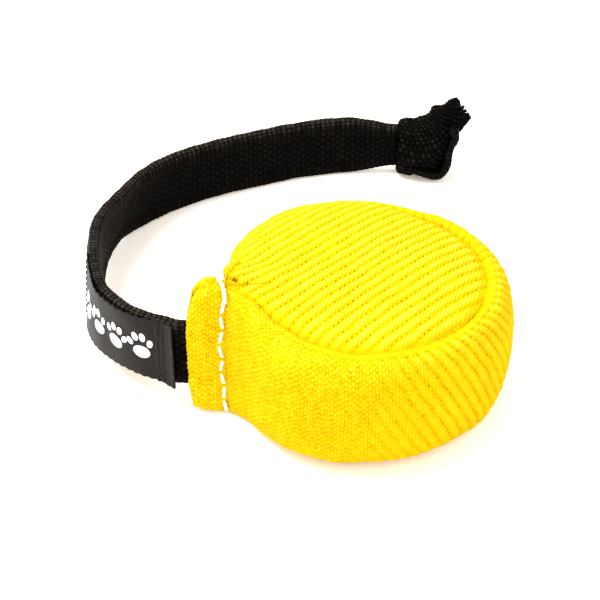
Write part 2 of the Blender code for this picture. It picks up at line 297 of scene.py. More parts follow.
def fabric_material():
    """Yellow twill: bright painted highlight on top of the yarns, orange painted shade in the gaps, slightly
    mottled, with loose fibres.
    """
    material, tree, shader = nodes_of("bite_fabric")
    depth = attribute_node(tree, "yarn")
    base = ramp_node(
        tree,
        depth,
        [
            (0.00, (0.200, 0.110, 0.000)),
            (0.22, (0.500, 0.300, 0.000)),
            (0.50, (0.660, 0.425, 0.001)),
            (0.75, (0.690, 0.490, 0.008)),
            (1.00, (0.720, 0.570, 0.055)),
        ],
    )
    patch = noise_node(tree, 90.0, 4.0)
    tint = ramp_node(tree, patch, [(0.30, (0.93, 0.90, 0.85)), (0.70, (1.0, 1.0, 1.0))])
    colour = mix_node(tree, 1.0, base, tint, "MULTIPLY")
    fibre = noise_node(tree, 2600.0, 2.0, 0.7)
    flecks = [(0.34, (0.84, 0.76, 0.50)), (0.52, (1.0, 1.0, 1.0)), (0.75, (1.0, 1.04, 1.3))]
    fleck = ramp_node(tree, fibre, flecks)
    colour = mix_node(tree, 0.8, colour, fleck, "MULTIPLY")
    tree.links.new(colour, shader.inputs["Base Color"])
    shader.inputs["Roughness"].default_value = 0.86
    shader.inputs["Specular IOR Level"].default_value = 0.12
    add_bump(tree, shader, fibre, 0.35, 0.0002)
    return material


def webbing_material():
    """Black webbing: nearly black painted shade in the gaps, charcoal painted highlight on the rib tops, with
    fine fibre.
    """
    material, tree, shader = nodes_of("webbing")
    depth = attribute_node(tree, "yarn")
    base = ramp_node(
        tree,
        depth,
        [
            (0.0, (0.0005, 0.0004, 0.0003)),
            (0.4, (0.0040, 0.0031, 0.0024)),
            (0.7, (0.0150, 0.0134, 0.0114)),
            (1.0, (0.0420, 0.0390, 0.0345)),
        ],
    )
    fibre = noise_node(tree, 2200.0, 3.0, 0.7)
    flecks = [(0.40, (0.35, 0.35, 0.35)), (0.55, (1.0, 1.0, 1.0)), (0.72, (2.6, 2.5, 2.4))]
    fleck = ramp_node(tree, fibre, flecks)
    colour = mix_node(tree, 0.9, base, fleck, "MULTIPLY")
    tree.links.new(colour, shader.inputs["Base Color"])
    shader.inputs["Roughness"].default_value = 0.55
    shader.inputs["Specular IOR Level"].default_value = 0.07
    add_bump(tree, shader, fibre, 0.4, 0.0002)
    return material


def label_material():
    """Black satin tape with fine crosswise ribs, painted lighter on their tops as highlight and darker between
    them as shade.
    """
    material, tree, shader = nodes_of("label_satin")
    depth = attribute_node(tree, "yarn")
    base = ramp_node(tree, depth, [(0.0, (0.004, 0.0036, 0.0034)), (1.0, (0.024, 0.0222, 0.0212))])
    fibre = noise_node(tree, 3000.0, 3.0, 0.7)
    flecks = [(0.35, (0.3, 0.3, 0.3)), (0.55, (1.0, 1.0, 1.0)), (0.72, (3.2, 3.1, 3.0))]
    fleck = ramp_node(tree, fibre, flecks)
    tree.links.new(mix_node(tree, 0.8, base, fleck, "MULTIPLY"), shader.inputs["Base Color"])
    shader.inputs["Roughness"].default_value = 0.5
    shader.inputs["Specular IOR Level"].default_value = 0.22
    add_bump(tree, shader, fibre, 0.2, 0.0001)
    return material


def plain_thread_material(name, low, high, roughness):
    material, tree, shader = nodes_of(name)
    fibre = noise_node(tree, 2500.0, 2.0, 0.6)
    tree.links.new(ramp_node(tree, fibre, [(0.3, low), (0.7, high)]), shader.inputs["Base Color"])
    shader.inputs["Roughness"].default_value = roughness
    add_bump(tree, shader, fibre, 0.3, 0.0001)
    return material


FABRIC = fabric_material()
WEBBING = webbing_material()
LABEL = label_material()
WHITE_THREAD = plain_thread_material("white_thread", (0.80, 0.78, 0.73), (1.0, 0.99, 0.96), 0.55)
PRINT = plain_thread_material("label_print", (0.62, 0.61, 0.60), (0.86, 0.85, 0.84), 0.6)
BLACK_THREAD = plain_thread_material("black_thread", (0.006, 0.005, 0.005), (0.03, 0.028, 0.026), 0.6)
FRAY = plain_thread_material("cut_fibre", (0.004, 0.0035, 0.003), (0.08, 0.075, 0.065), 0.6)


# ---------------------------------------------------------------- weave
def bump_wave(d, half):
    """1 at d = 0, falling smoothly to 0 at the half width."""
    return np.where(np.abs(d) < half, 0.5 + 0.5 * np.cos(np.pi * np.clip(d / half, -1, 1)), 0.0)


def cyclic(x, centre, period):
    return (x - centre + period / 2) % period - period / 2


def chance(i, j):
    """A repeatable number from 0 to 1 for each pair of whole numbers."""
    value = np.sin(i * 12.9898 + j * 78.233) * 43758.5453
    return value - np.floor(value)


def twill(u, v, seed, ribs=1.0):
    """Height in metres, and a 0 to 1 share of it, of three-and-one twill on a flat cloth.

    Where ribs is low, the cloth is stretched and shows as rows of single staggered floats instead."""
    a = u / YARN + 0.20 * wobble(u, v, seed, 0.014)
    b = v / WEFT + 0.14 * wobble(v, u, seed + 1, 0.014)
    i, j = np.floor(a), np.floor(b)
    x, y = a - i - 0.5, b - j - 0.5
    over = 1 - 2 * bump_wave(cyclic(b + i, 3.5, 4), 1.0)
    under = -1 + 2 * bump_wave(cyclic(a + j, 3.5, 4), 1.0)
    arch = 1 - (np.abs(cyclic(b + i, 1.5, 4)) / 1.9).clip(0, 1) ** 2
    uneven = chance(i, np.floor((b + i - 3.5) / 4)) - 0.5
    crown = 1 - (2 * np.abs(x)) ** 2
    warp = 0.30 * over + 0.20 * arch + 0.55 * crown - 0.12 + 0.24 * uneven
    weft = 0.42 * under + 0.50 * (1 - (2 * np.abs(y)) ** 2) - 0.40
    ridge = np.cos(math.tau * (a + b - 2) / 4)
    along = (a - b) / 2
    deep = 0.3 + 1.3 * chance(np.floor((a + b + 2) / 4), np.floor(along + 0.5))
    pit = deep * np.exp(-((cyclic(a + b, 0, 4) / 0.48) ** 2) - (cyclic(along, 0, 1) / 0.24) ** 2)
    ribbed = 0.78 * np.maximum(warp, weft) + 0.09 * ridge - 0.42 * pit
    beat = b * 1.02 + 0.5 * i + 0.35 * uneven
    grain = chance(i, np.floor(beat)) - 0.5
    strong = np.maximum(chance(i + 7, np.floor(beat) + 3) - 0.72, 0) * 2.8
    speck = strong * bump_wave(cyclic(beat, 0, 1), 0.30) * bump_wave(x, 0.42)
    seeded = 0.46 * crown + 0.30 * np.cos(math.tau * (beat - 0.5)) + 0.44 * grain - speck
    height = ribbed * ribs + seeded * (1 - ribs)
    # The share becomes the fabric's colour: painted shade where the yarn lies low and in the pits, painted
    # highlight where it stands high.
    share = np.clip((height + 0.50) / 1.25, 0, 1)
    return height * (0.00034 + 0.00014 * ribs), share


# ---------------------------------------------------------------- the puck's outlines
def near_tab(turn, spread):
    off = math.remainder(turn - TAB_SEAT, math.tau)
    return 0.0 if abs(off) >= spread else (1 + math.cos(math.pi * off / spread)) / 2


def back_share(turn):
    """1 at the back left, where the panel is stretched out over the edge and its seam lies lower."""
    off = (turn - BACK_LEFT + math.pi) % math.tau - math.pi
    return ease((BACK_SPREAD - np.abs(off)) / (BACK_SPREAD / 2))


def around(turn, radius):
    return np.array([-radius * math.cos(turn), -radius * math.sin(turn)])


def side_point(turn):
    front = math.sin(turn - TAB_SEAT) > 0
    return around(turn, PUCK_RADIUS - PINCH * near_tab(turn, PINCH_FRONT if front else PINCH_BACK))


def seam_point(turn):
    pinch = SEAM_PINCH * near_tab(turn, SEAM_PINCH_SPREAD)
    radius = SEAM_RADIUS - pinch + POINT * near_tab(turn, POINT_SPREAD)
    return around(turn, radius + BACK_OUT * float(back_share(turn)))


def seam_level(turn, low):
    spread = near_tab(turn, SEAM_PINCH_SPREAD / 2)
    level, end = (SEAM_LOW, TAB_LOW + 0.0004) if low else (SEAM_HIGH, TAB_HIGH - 0.0004)
    level -= 0.0 if low else BACK_DOWN * float(back_share(turn))
    return level + (end - level) * spread


TAB_AHEAD = np.array([-math.cos(TAB_TURN), math.sin(TAB_TURN)])
TAB_ACROSS = np.array([-math.sin(TAB_TURN), -math.cos(TAB_TURN)])


def tab_point(along, across):
    return TAB_ROOT + TAB_AHEAD * along + TAB_ACROSS * across


HALF_TAB = 0.0039
FOLD = 0.0019
CREASE = 0.0002
CREASE_LEVEL = 0.0466
ROOT = -0.0014
TAB_SQUARE = 3.8
PUCK_SQUARE = 2.9
FRONT_NUDGE = (-0.0012, 0.0010, 0.0005, -0.0010, -0.0006)


def half_band(side):
    """Control rows from the crease at the tab's end, round its fold and the puck, to the far side.

    Each row is (outline x, y, seam x, y, low, high, squareness, flare of the foot)."""
    rows = []
    top = TAB_HIGH + (0.0004 if side > 0 else 0.0030)
    corner = 0.0090 if side > 0 else 0.0108
    flare = 0.0024 if side > 0 else -0.0005

    def shoulder(reach):
        return top - corner * (reach / TAB_LENGTH) ** 4

    def add(outline, edge, low, high, square, spread):
        rows.append([*outline, *edge, low, high, square, flare * spread])

    tip = TAB_LENGTH - FOLD
    middle = HALF_TAB - FOLD
    for degrees in (-90, -55, -20, 15, 45, 70, 90):
        angle = math.radians(degrees)
        reach = tip + FOLD * math.cos(angle)
        round_off = max(0.0, math.cos(angle)) ** 1.3
        out = tab_point(reach, side * (middle + FOLD * math.sin(angle)))
        inner = tab_point(min(reach, tip - 0.0006), side * CREASE)
        add(out, inner, TAB_LOW + 0.0014 + 0.0036 * round_off, shoulder(reach), 4.0, 0.8)
    for share, half in ((0.72, 1.06), (0.5, 1.05), (0.28, 0.96), (0.12, 0.86), (0.0, 0.80)):
        reach = tip * share
        out = tab_point(reach, side * HALF_TAB * half)
        inner = tab_point(reach, side * CREASE)
        high = shoulder(reach) - 0.0008 * (1 - share) ** 6
        add(out, inner, TAB_LOW + 0.0016 * share**2, high, TAB_SQUARE, 1.0)
    root = tab_point(ROOT, side * HALF_TAB * 0.88)
    root_edge = tab_point(ROOT, side * CREASE)
    add(root, root_edge, TAB_LOW, top, TAB_SQUARE, 1.0)
    degrees = (16, 22, 29, 37, 46, 56, 67, 79, 92, 106, 121, 136, 151, 166, 180)
    turns = [TAB_SEAT + side * math.radians(a) for a in degrees]
    for k, turn in enumerate(turns):
        edge = seam_point(turn)
        if k == 0:
            edge = root_edge + (seam_point(turns[1]) - root_edge) * 0.60 + around(turn, 0.0008)
        if side > 0 and k < len(FRONT_NUDGE):
            edge = edge + around(turn, FRONT_NUDGE[k])
        opening = float(ease((k + 2.1) / 4.1))
        low = TAB_LOW + (seam_level(turn, True) - TAB_LOW) * opening
        high = top + (seam_level(turn, False) - top) * opening
        square = TAB_SQUARE + (PUCK_SQUARE - TAB_SQUARE) * float(ease((k + 1) / 5))
        add(side_point(turn), edge, low, high, square, float(1 - ease((k + 1) / 4)))
    return rows


def profile(outline, edge, low, high, square, count):
    """Even steps from the lower seam, up the side, to the upper seam; and their lengths from half way."""
    angle = np.linspace(-math.pi / 2, math.pi / 2, 241)
    share = 1 - np.clip(np.cos(angle), 0, None) ** (2 / square)
    height = np.sign(angle) * np.abs(np.sin(angle)) ** (2 / square)
    xy = outline[None] + (edge - outline)[None] * share[:, None]
    z = (low + high) / 2 + (high - low) / 2 * height
    points = np.column_stack([xy, z])
    even, at = resample(points, count=count)
    return even, at - at[-1] / 2


BAND_ACROSS = 221
GROOVE = 0.0008
BAND_STEP = 0.00027
FOOT = 0.017
PUFF = np.array([-0.0408, 0.0052, 0.0465])
PUFF_SPREAD = 0.0034
TURNED_EDGE = 0.0038
TACK_PITCH = 0.0021


def make_band():
    """The whole side band; returned with the rows of its plan, which the panels are fitted to."""
    control = smooth_route(half_band(1) + half_band(-1)[:-1][::-1], 8)
    plan, _ = resample(control, step=BAND_STEP)
    # even steps along the outline alone
    outline = run_lengths(plan[:, :2])
    even = np.linspace(0, outline[-1], round(outline[-1] / BAND_STEP) + 1)
    plan = columns_at(even, outline, plan)
    grid = np.zeros((len(plan), BAND_ACROSS, 3))
    v = np.zeros((len(plan), BAND_ACROSS))
    for k, row in enumerate(plan):
        grid[k], v[k] = profile(row[0:2], row[2:4], row[4], row[5], row[6], BAND_ACROSS)
    u = np.repeat((even - even[-1] / 2)[:, None], BAND_ACROSS, axis=1)
    foot = ease((FOOT - grid[..., 2]) / FOOT)
    grid[..., :2] += TAB_ACROSS * (plan[:, 7][:, None] * foot)[..., None]
    puff = np.exp(-np.sum((grid - PUFF) ** 2, axis=2) / PUFF_SPREAD**2)
    to_seam = v[:, -1:] - np.abs(v)
    reach = np.linalg.norm(plan[:, 0:2] - plan[:, 2:4], axis=1)[:, None]
    on_puck = ease((reach - 0.0036) / 0.0030)
    normals = normals_out(grid, PUCK_MIDDLE)
    # soft unevenness, the roll over the turned edge, and the groove where it dives into the seam
    soft = 0.00045 * wobble(u, v, 5, 0.045) * on_puck + 0.00018 * wobble(u, v, 9, 0.012)
    roll = 0.00020 * hill(to_seam - 0.0020, 0.0013) - 0.00026 * hill(to_seam - TURNED_EDGE, 0.0007)
    roll = roll * on_puck * (0.75 + 0.35 * wobble(u, v * 0, 14, 0.05))
    turn = np.arctan2(-grid[..., 1], -grid[..., 0])
    back_left = back_share(turn)
    groove = GROOVE * (1 - back_left)
    tall = np.where(v > 0, np.maximum(grid[..., 2][:, -1:] - CREASE_LEVEL, 0), 0.0005)
    near_seam = hill(to_seam, 0.0015)
    dive = -(groove * near_seam * on_puck + (1 - on_puck) * tall * near_seam)
    ribs = 0.08 + 0.82 * ease((turn - math.radians(62)) / math.radians(60))
    ribs = np.where(turn < 0, 0.45, ribs)
    height, share = twill(u, v, 21, ribs)
    rolled = on_puck * ease((turn - math.radians(30)) / math.radians(20)) * (v > 0)
    fade = 1 - rolled * 0.65 * (1 - ease((to_seam - 0.0026) / 0.0016))
    # Painted shade: a dotted row of darker dashes along the turned edge, at the tack stitches.
    tack_stitch_shade = hill(to_seam - TURNED_EDGE, 0.00045) * (0.55 + 0.45 * np.cos(u / TACK_PITCH * math.tau))
    tack_stitch_shade = tack_stitch_shade * rolled * ease((math.radians(120) - turn) / math.radians(25))
    moved = grid + normals * (soft + roll + height * fade + 0.0014 * puff)[..., None]
    moved[..., 2] += dive * np.sign(v)
    # Painted light: the colour is lighter where the band faces up and darker on its upright sides, and lifted a
    # little more on the tab.
    painted_top_light = 0.80 + 0.20 * np.clip(normals[..., 2] * 1.3, 0, 1)
    # Painted shade along the seam, where the band dives in beside the panel (weaker at the back left).
    line = hill(to_seam, 0.0013) * (1 - back_left) * (0.3 + 0.7 * on_puck)
    # Painted weave shade and highlight from the twill's share, evened out near the rolled seam.
    even_out = 0.72 + (share - 0.72) * fade
    lit = painted_top_light + 0.10 * (1 - on_puck)
    shade = np.clip(even_out * lit - 0.28 * line - 0.30 * tack_stitch_shade, 0, 1)
    moved[..., 2] = np.maximum(moved[..., 2], 0.0002)
    # the seam allowances, turned down inside
    inward = plan[:, 2:4] - plan[:, 0:2]
    inward = inward / np.maximum(np.linalg.norm(inward, axis=1, keepdims=True), 1e-6) * 0.0006
    tuck = np.column_stack([inward, np.full(len(plan), -0.0018)])
    first = (moved[:, 0] + tuck * [1, 1, -0.6])[:, None]
    last = (moved[:, -1] + tuck)[:, None]
    moved = np.concatenate([first, moved, last], axis=1)
    # The turned-down seam allowances get the darkest colour: painted shade inside the seam.
    shade = np.concatenate([shade[:, :1] * 0, shade, shade[:, :1] * 0], axis=1)
    band = grid_object("band_fabric", moved, values={"yarn": shade})
    face_out(band)
    band.data.materials.append(FABRIC)
    return band, plan


def close_middle(obj, spokes):
    """Close the small hole inside the first ring of points."""
    bm = bmesh.new()
    bm.from_mesh(obj.data)
    bm.verts.ensure_lookup_table()
    bm.faces.new([bm.verts[k] for k in range(spokes)])
    bmesh.ops.recalc_face_normals(bm, faces=bm.faces)
    bm.to_mesh(obj.data)
    bm.free()
    obj.data.shade_smooth()


def face_out(obj):
    """Turn a mesh's faces away from the puck's middle."""
    mesh = obj.data
    normals = np.zeros(len(mesh.polygons) * 3)
    centres = np.zeros(len(mesh.polygons) * 3)
    mesh.polygons.foreach_get("normal", normals)
    mesh.polygons.foreach_get("center", centres)
    outward = np.sum((centres.reshape(-1, 3) - PUCK_MIDDLE) * normals.reshape(-1, 3))
    if outward < 0:
        mesh.flip_normals()


DIMPLE = (-0.0400, -0.0019)
DIMPLE_SPREAD = 0.0013
BLENDED_SPOKES = 13


def make_panel(name, low, plan, spokes, rings, seed):
    """A round panel, from its middle out to the seam that the band's rows end on."""
    keep = (plan[:, 2:4] - TAB_ROOT) @ TAB_AHEAD < -0.0013
    edge = np.column_stack([plan[keep][:, 2:4], plan[keep][:, 4 if low else 5]])
    edge = np.vstack([edge, edge[:1]])
    edge, _ = resample(edge, count=spokes + 1)
    edge = edge[:-1]
    # the two sides of the tab end at different heights: blend them over the panel's tip
    window = np.hanning(2 * BLENDED_SPOKES + 1)
    around_rim = np.concatenate([edge[-BLENDED_SPOKES:, 2], edge[:, 2], edge[:BLENDED_SPOKES, 2]])
    edge[:, 2] = np.convolve(around_rim, window / window.sum(), mode="valid")
    share = (np.arange(1, rings + 1) / rings)[:, None]
    xy = edge[None, :, :2] * share[..., None]
    radius = np.linalg.norm(edge[:, :2], axis=1)[None]
    inward = radius * (1 - share)
    rim = edge[None, :, 2]
    x, y = xy[..., 0], xy[..., 1]
    if low:
        level = rim * ease((share - 0.66) / 0.34)
        level = level + GROOVE * hill(inward, 0.0007)
        sign = -1
    else:
        spoke_turn = np.arctan2(-edge[:, 1], -edge[:, 0])[None]
        back_left = back_share(spoke_turn)
        level = SEAM_HIGH + (rim - SEAM_HIGH) * share ** (5 + 5 * back_left) + CROWN * (1 - share**3.0)
        level = level + 0.00035 * wobble(x, y, seed, 0.050) * (1 - share**4)
        dimple = np.exp(-((x - DIMPLE[0]) ** 2 + (y - DIMPLE[1]) ** 2) / DIMPLE_SPREAD**2)
        level = level - 0.0016 * dimple
        level = level - GROOVE * (1 - back_left) * hill(inward, 0.0022)
        sign = 1
    turn = TOP_RIBS - RIB_SLOPE
    u = x * math.cos(turn) + y * math.sin(turn)
    v = -x * math.sin(turn) + y * math.cos(turn)
    height, shade = twill(u, -v, seed)
    fade = 0.25 + 0.75 * ease(inward / 0.0032)
    grid = np.stack([x, y, level], axis=-1)
    normals = grid_normals(grid, wrap_v=True)
    if np.sum(normals[..., 2]) * sign < 0:
        normals = -normals
    grid = grid + normals * (height * fade)[..., None]
    # Painted weave shade and highlight from the twill's share, weaker near the seam.
    shade = 0.72 + (shade - 0.72) * (0.3 + 0.7 * fade)
    if low:
        # Painted shade along the bottom seam.
        shade = shade - 0.45 * hill(inward, 0.0008)
        grid[..., 2] = np.maximum(grid[..., 2] + 0.0003, 0.0001)
    else:
        # Painted shade along the top seam (weaker at the back left) and in the sunken stitched dimple.
        shade = shade - 0.28 * hill(inward, 0.0014) * (1 - back_left) - 0.9 * dimple
    shade = np.clip(shade, 0, 1)
    tuck = grid[-1:] * [1.012, 1.012, 1.0] + np.array([0, 0, 0.0008 if low else -0.0018])
    grid = np.concatenate([grid, tuck])
    # The tucked seam allowance gets the darkest colour: painted shade inside the seam.
    shade = np.concatenate([shade, shade[-1:] * 0])
    panel = grid_object(name, grid, wrap_v=True, values={"yarn": shade})
    close_middle(panel, spokes)
    face_out(panel)
    panel.data.materials.append(FABRIC)
    return panel


# ---------------------------------------------------------------- webbing
RIB = 0.0020
DASH = 0.0027
RIBBON_STEP = 0.00036


def webbing_height(s, w, count, edge):
    """Crosswise ribs along s, each a row of dashes along w, offset by half from rib to rib."""
    column = s / RIB
    c = np.floor(column)
    x = column - c - 0.5
    ridge = np.sqrt(np.clip(1 - (x / 0.56) ** 2, 0, 1))
    wave = 0.5 + 0.5 * np.cos(math.tau * (w * count + c * 0.5 + 0.05 * np.sin(c * 2.1)))
    wave = wave * (1 - edge) + (0.70 + 0.30 * np.cos(math.tau * w * count * 2.3)) * edge
    uneven = 0.85 + 0.30 * chance(c, np.floor(w * 9))
    return ridge * (0.45 + 0.55 * wave) * uneven


def section_loop(width, count, flat=0.0016, edge=0.0022):
    """A flattened tube's section: (across, up) and a 0 to 1 share of the way round."""
    angle = np.linspace(0, math.tau, 721)[:-1]
    up = np.sign(np.sin(angle)) * np.abs(np.sin(angle)) ** 0.60
    thick = np.sign(np.cos(angle)) * np.abs(np.cos(angle)) ** 0.42
    bulge = flat + (edge - flat) * ease((np.abs(up) - 0.45) / 0.30)
    loop = np.column_stack([thick * bulge, up * width / 2])
    loop = np.vstack([loop, loop[:1]])
    even, _ = resample(loop, count=count + 1)
    return even[:-1]


def ribbon(name, path, sides, ups, widths, count, flat=0.0016, edge=0.0022, depth=0.00042, edge_highlight=0.35):
    """Webbing along a path: sides are square to its face, ups are along its width."""
    lengths = run_lengths(path)
    n = max(2, round(lengths[-1] / RIBBON_STEP) + 1)
    at = np.linspace(0, lengths[-1], n)
    centre, side, up = (columns_at(at, lengths, values) for values in (path, sides, ups))
    side = unit(side)
    up = unit(up - side * np.sum(side * up, axis=1, keepdims=True))
    loop = section_loop(STRAP_WIDTH, count, flat, edge)
    scale = (np.interp(at, lengths, widths) / STRAP_WIDTH)[:, None]
    across = np.repeat(loop[None, :, 0], n, axis=0)
    rise = loop[None, :, 1] * scale
    grid = centre[:, None] + side[:, None] * across[..., None] + up[:, None] * rise[..., None]
    normals = normals_out(grid, centre[:, None], wrap_v=True)
    perimeter = run_lengths(np.vstack([loop, loop[:1]]))[-1]
    dashes = round(perimeter / DASH)
    w = np.arange(count)[None] / count
    s = at[:, None]
    on_edge = ease((np.abs(loop[:, 1]) / (STRAP_WIDTH / 2) - 0.62) / 0.12)[None]
    top_edge = ease((loop[:, 1] / (STRAP_WIDTH / 2) - 0.74) / 0.2)[None]
    height = webbing_height(s + 0.00012 * np.sin(s * 900 + w * 19), w, dashes, on_edge)
    soft = 0.00014 * wobble(s, rise, 31, 0.016)
    grid = grid + normals * (height * depth + soft)[..., None]
    # Painted highlight on the rib tops and painted shade in the gaps, with an extra painted highlight along the
    # upper edge.
    value = np.clip(height, 0, 1) * (0.71 + edge_highlight * top_edge) + 0 * s
    obj = grid_object(name, grid, wrap_v=True, values={"yarn": value}, caps=True)
    fix_outward(obj)
    obj.data.materials.append(WEBBING)
    return obj


def fix_outward(obj):
    bm = bmesh.new()
    bm.from_mesh(obj.data)
    bmesh.ops.recalc_face_normals(bm, faces=bm.faces)
    if bm.calc_volume(signed=True) < 0:
        bmesh.ops.reverse_faces(bm, faces=bm.faces)
    bm.to_mesh(obj.data)
    bm.free()


def strap_path():
    """The strap's middle line from inside the tab to the knot, its widths, and lengths from the flex line."""
    flex = tab_point(FLEX, 0)
    inside = [tab_point(a, 0) for a in (0.0060, 0.0090, 0.0120)]
    pieces = 6
    plan = smooth_route([*inside, flex, *STRAP_ROUTE], pieces)
    lengths = run_lengths(plan)
    from_flex = lengths - lengths[len(inside) * pieces]
    full = from_flex[-1]
    low = STRAP_FLOOR + (STRAP_EXIT_LOW - STRAP_FLOOR) * (1 - ease(from_flex / (STRAP_SETTLE * full)))
    gathered = ease((from_flex - (full - KNOT_GATHER)) / KNOT_GATHER)
    width = STRAP_WIDTH - (STRAP_WIDTH - KNOT_WIDTH) * gathered
    path = np.column_stack([plan, low + STRAP_WIDTH / 2])
    return path, width, from_flex


def path_sides(path):
    """Level directions across the path."""
    tangent = np.gradient(path, axis=0)
    return unit(np.column_stack([tangent[:, 1], -tangent[:, 0], np.zeros(len(path))]))


def lean_in(path, from_flex):
    """Across and up directions of the strap, whose upper edge leans in round the left of the curl."""
    level = path_sides(path)
    behind = ease((from_flex - 0.080) / 0.028) * ease((0.138 - from_flex) / 0.035)
    lean = (LEAN * (behind + 0.5 * hill(from_flex - 0.043, 0.016)))[:, None]
    return level * np.cos(lean) - UP * np.sin(lean), UP * np.cos(lean) + level * np.sin(lean)


def make_strap():
    path, width, from_flex = strap_path()
    side, up = lean_in(path, from_flex)
    strap = ribbon("strap_webbing", path, side, up, width, 150)
    return strap, path, from_flex, side, up


strap_piece, strap_line, strap_from_flex, strap_side, strap_up = make_strap()


# ---------------------------------------------------------------- thread
def thread(name, points, radius, material, plies=2, lay=0.0042, step=0.00030, around_count=20):
    """Twisted thread along a line of points; its plies stand out as ridges."""
    line, at = resample(smooth_route(points, 5), step=step)
    tangent = unit(np.gradient(line, axis=0))
    side = np.zeros_like(line)
    reference = np.array([0.31, 0.52, 0.80])
    for k, t in enumerate(tangent):
        reference = reference - t * np.dot(reference, t)
        reference = reference / np.linalg.norm(reference)
        side[k] = reference
    up = np.cross(tangent, side)
    angle = np.linspace(0, math.tau, around_count, endpoint=False)[None]
    ply = angle - (at / lay * math.tau)[:, None]
    swell = radius * (0.80 + 0.20 * np.abs(np.cos(ply * plies / 2)) * 1.6 - 0.06)
    ends = np.sqrt(np.clip(1 - (1 - np.minimum(at, at[-1] - at) / radius).clip(0, 1) ** 2, 0.02, 1))
    swell = swell * ends[:, None]
    grid = line[:, None] + side[:, None] * (np.cos(angle) * swell)[..., None]
    grid = grid + up[:, None] * (np.sin(angle) * swell)[..., None]
    obj = grid_object(name, grid, wrap_v=True, caps=True)
    fix_outward(obj)
    obj.data.materials.append(material)
    return obj


# ---------------------------------------------------------------- puck
band, plan_rows = make_band()
top = make_panel("top_fabric", False, plan_rows, 1000, 170, 41)
bottom = make_panel("bottom_fabric", True, plan_rows, 300, 44, 43)

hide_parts("side_band", "hem_front", "hem_back")
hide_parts("top_panel", "top_seam_thread")
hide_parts("bottom_panel", "bottom_seam_thread")
for piece in (band, top, bottom):
    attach(piece, "puck")


def stitches():
    """A running stitch up each side of the tab, bowed a little outwards, and one slanting over the top."""
    face = HALF_TAB * 0.80 + 0.0004
    made = []
    levels = [0.0445, 0.0382, 0.0325, 0.0268, 0.0210, 0.0158, 0.0108, 0.0058, 0.0010]
    rng = np.random.default_rng(8)
    for side in (1, -1):
        for k, (high, low) in enumerate(zip(levels, levels[1:])):
            lean = rng.uniform(0.0002, 0.0005) * (1 if k % 2 else -1)
            points = []
            for t in (0.0, 0.12, 0.35, 0.65, 0.88, 1.0):
                z = high - 0.0005 + (low + 0.0008 - high + 0.0005) * t
                bow = 0.0015 * math.sin(math.pi * z / TAB_HIGH) ** 1.5 - 0.0006
                flare = (0.0024 if side > 0 else 0.0005) * float(ease((0.017 - z) / 0.017))
                rise = 0.0010 * math.sin(math.pi * t) ** 0.6 - 0.0009
                points.append((*tab_point(bow + lean * (1 - 2 * t), side * (face + flare + rise)), z))
            made.append(thread(f"stitch_{side}_{k}", points, 0.00058, WHITE_THREAD))
    top_z = TAB_HIGH + 0.0006
    over = [
        (*tab_point(-0.0010, face - 0.0004), 0.0432),
        (*tab_point(-0.0010, face + 0.0006), 0.0450),
        (*tab_point(-0.0008, face + 0.0002), top_z - 0.0006),
        (*tab_point(-0.0002, face - 0.0018), top_z + 0.0008),
        (*tab_point(0.0008, 0.0002), top_z + 0.0014),
        (*tab_point(0.0019, -face + 0.0012), top_z + 0.0024),
        (*tab_point(0.0024, -face - 0.0006), top_z + 0.0010),
        (*tab_point(0.0024, -face - 0.0004), 0.0450),
    ]
    made.append(thread("stitch_over", over, 0.00062, WHITE_THREAD))
    dot = [(-0.0412, -0.0024, 0.0462), (-0.0407, -0.0021, 0.0470), (-0.0400, -0.0017, 0.0462)]
    made.append(thread("stitch_dot", dot, 0.0004, WHITE_THREAD))
    return made


stitch_pieces = stitches()
for piece in stitch_pieces:
    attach(piece, "puck")
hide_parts("tab_stitch_thread")


# ---------------------------------------------------------------- strap
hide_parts("strap", "strap_anchor")
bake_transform(strap_piece)


def strap_at(s):
    """The strap's middle, the way out of its outer face and the way up it, at lengths from the flex line."""
    lines = (strap_line, strap_side, strap_up)
    point, side, up = (columns_at(s, strap_from_flex, values) for values in lines)
    return point, -side, up


# ---------------------------------------------------------------- label
LABEL_START = 0.0
LABEL_LENGTH = 0.0585
LABEL_WIDTH = 0.0234
LABEL_SKIN = 0.00042
LABEL_RIB = 0.00062
LABEL_PICK = 0.00050
LABEL_STEP = 0.00022


def label_offset(s, w):
    """How far the label's inner face stands off the strap's middle: it bellies out along its top edge."""
    t = (s - LABEL_START) / LABEL_LENGTH
    belly = np.sin(np.pi * np.clip((t - 0.12) / 0.62, 0, 1)) ** 0.8
    up = ease((w + 0.004) / 0.014)
    end = 0.0008 * ease((0.035 - t) / 0.035)
    return 0.00245 + belly * (0.0003 + 0.0009 * up) + end


def label_at(s, w, lift=0.0):
    """A point on the label's outer face: s along it, w up from its middle, lift above it."""
    s, w = np.broadcast_arrays(np.asarray(s, float), np.asarray(w, float))
    point, side, up = strap_at(s)
    t = (s - LABEL_START) / LABEL_LENGTH
    droop = -0.0010 * ease((0.10 - t) / 0.10) * ease((0.004 - w) / 0.012)
    ragged = 0.0002 * np.sin(s * 2100) * np.abs(w / LABEL_WIDTH * 2) ** 6
    return point + side * (label_offset(s, w) + lift)[..., None] + up * (w + droop + ragged)[..., None]


